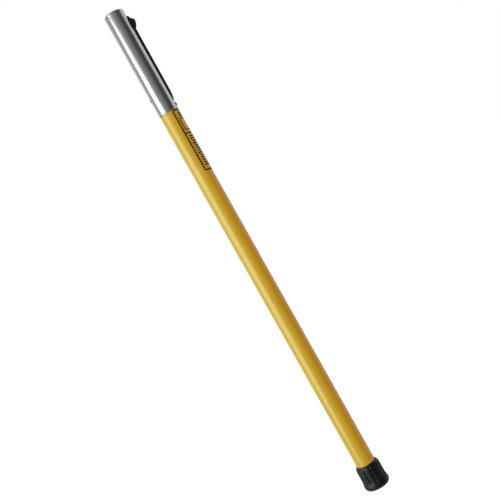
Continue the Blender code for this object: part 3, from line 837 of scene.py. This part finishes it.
def dress_frame():
    dress(ACETAL, "slide_bush")
    dress(NYLON, "lock_housing", "guide_bush")
    dress(STEEL, "foot_washer", "lever_pivot_pin", "lever_spring", "lock_pin", "lock_pin_link",
          "tip_cross_pin", "tail_cross_pin")


# Studio.

def studio_floor():
    """A plain white sheet. It neither tints the pole from below nor shows in its gloss."""
    shape = bmesh.new()
    bmesh.ops.create_grid(shape, x_segments=8, y_segments=8, size=40.0)
    mesh = bpy.data.meshes.new("studio_floor")
    shape.to_mesh(mesh)
    shape.free()
    floor = bpy.data.objects.new("studio_floor", mesh)
    SCENE.collection.objects.link(floor)
    look = Shader("studio_white")
    look.feed("Base Color", look.mix(look.noise(3, 2), (0.90, 0.90, 0.90), (0.92, 0.92, 0.92)))
    look.set(Roughness=0.9, Emission_Color=(1.0, 1.0, 1.0), Emission_Strength=0.85)
    mesh.materials.append(look.material)
    floor.visible_diffuse = False
    floor.visible_glossy = False


def softbox():
    """The one lamp. It faces the pole, and the camera doesn't see it."""
    key = bpy.data.lights.new("key_softbox", "AREA")
    key.shape = "ELLIPSE"
    key.size, key.size_y = KEY_SIZE
    key.energy = KEY_POWER
    lamp = bpy.data.objects.new("key_softbox", key)
    SCENE.collection.objects.link(lamp)
    out = Vector((math.sin(KEY_AZIMUTH), -math.cos(KEY_AZIMUTH), 0))
    facing = out.to_track_quat("Z", "Y").to_matrix().to_4x4()
    place = Matrix.Translation(out * KEY_DISTANCE + Vector((0, 0, KEY_MIDDLE)))
    lamp.matrix_world = place @ facing @ Matrix.Rotation(KEY_TILT, 4, "Z")
    lamp.visible_camera = False


def colour_by_azimuth(tree, share, stops):
    """A ramp of colours over a share of the full circle, from -180 to 180 degrees."""
    made = tree.nodes.new("ShaderNodeValToRGB")
    elements = made.color_ramp.elements
    while len(elements) < len(stops):
        elements.new(0.5)
    for element, (degrees, colour) in zip(elements, stops):
        element.position = (degrees + 180) / 360
        element.color = (*colour, 1) if isinstance(colour, tuple) else (colour, colour, colour, 1)
    tree.links.new(share, made.inputs[0])
    return made.outputs[0]


def surround():
    """White for the camera, FILL for matt light and SURROUND for reflections."""
    world = bpy.data.worlds.new("studio_surround")
    world.use_nodes = True
    SCENE.world = world
    tree = world.node_tree
    coordinates = new_node(tree, "ShaderNodeTexCoord")
    turn = new_node(tree, "ShaderNodeVectorRotate", rotation_type="Z_AXIS")
    turn.inputs["Angle"].default_value = -CAMERA_AZIMUTH
    split = new_node(tree, "ShaderNodeSeparateXYZ")
    back = new_node(tree, "ShaderNodeMath", operation="MULTIPLY")
    back.inputs[1].default_value = -1.0
    azimuth = new_node(tree, "ShaderNodeMath", operation="ARCTAN2")
    share = new_node(tree, "ShaderNodeMapRange")
    for socket, value in zip(share.inputs[1:5], (-math.pi, math.pi, 0.0, 1.0)):
        socket.default_value = value
    tree.links.new(coordinates.outputs["Generated"], turn.inputs["Vector"])
    tree.links.new(turn.outputs[0], split.inputs[0])
    tree.links.new(split.outputs["Y"], back.inputs[0])
    tree.links.new(split.outputs["X"], azimuth.inputs[0])
    tree.links.new(back.outputs[0], azimuth.inputs[1])
    tree.links.new(azimuth.outputs[0], share.inputs[0])
    path = new_node(tree, "ShaderNodeLightPath")
    light = new_node(tree, "ShaderNodeMix", data_type="RGBA")
    seen = new_node(tree, "ShaderNodeMix", data_type="RGBA")
    tree.links.new(path.outputs["Is Diffuse Ray"], light.inputs[0])
    tree.links.new(colour_by_azimuth(tree, share.outputs[0], SURROUND), light.inputs[MIX_A])
    tree.links.new(colour_by_azimuth(tree, share.outputs[0], FILL), light.inputs[MIX_B])
    tree.links.new(path.outputs["Is Camera Ray"], seen.inputs[0])
    tree.links.new(light.outputs[MIX_RESULT], seen.inputs[MIX_A])
    seen.inputs[MIX_B].default_value = (1, 1, 1, 1)
    tree.links.new(seen.outputs[MIX_RESULT], tree.nodes["Background"].inputs["Color"])


def camera():
    """A level camera at the photograph's angle, rolled about its own line of sight."""
    data = bpy.data.cameras.new("camera")
    data.lens = LENS
    data.sensor_width = 36.0
    eye = bpy.data.objects.new("camera", data)
    SCENE.collection.objects.link(eye)
    round_pole = Matrix.Rotation(CAMERA_AZIMUTH, 4, "Z")
    place = Matrix.Translation((CAMERA_SIDE, -CAMERA_DISTANCE, CAMERA_HEIGHT))
    level = Matrix.Rotation(math.pi / 2, 4, "X")
    eye.matrix_world = round_pole @ place @ level @ Matrix.Rotation(-CAMERA_LEAN, 4, "Z")
    SCENE.camera = eye


dress_frame()
foot()
tube()
sleeve()
rivets()
lever()
knob()
inner_pole()
tip()
label_film()
label_print()
studio_floor()
softbox()
surround()
camera()
SCENE.view_settings.view_transform = "Standard"
